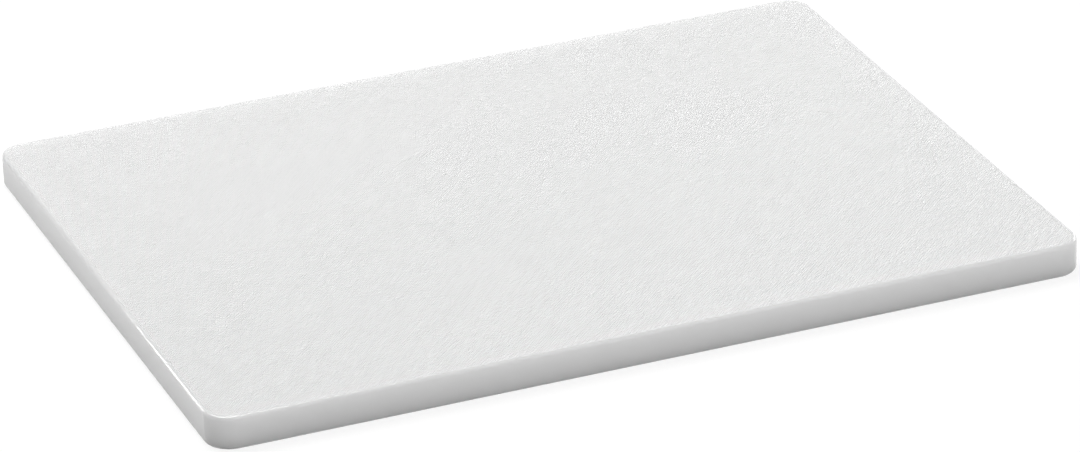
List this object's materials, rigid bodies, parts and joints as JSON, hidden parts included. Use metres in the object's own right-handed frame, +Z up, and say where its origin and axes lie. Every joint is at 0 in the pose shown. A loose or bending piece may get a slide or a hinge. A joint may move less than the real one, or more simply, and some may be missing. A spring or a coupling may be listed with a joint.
{
  "type": "cutting board",
  "caption": "Rectangular slab of solid white plastic with a fine diagonal grip texture on its faces, rounded corners and softened edges; lies flat and can be turned over.",
  "frame": {"origin": "middle of the underside, on the surface that the board lies on", "axes": "+X along the length, +Y along the width, +Z up through the thickness, out of the cutting face"},
  "size_m": [0.4, 0.3, 0.015],
  "materials": {
    "polyethylene": "satin white polyethylene with a fine diagonal grip texture on both faces and smooth rounded edges"
  },
  "bodies": {
    "root": {"board": "polyethylene"}
  },
  "joints": []
}
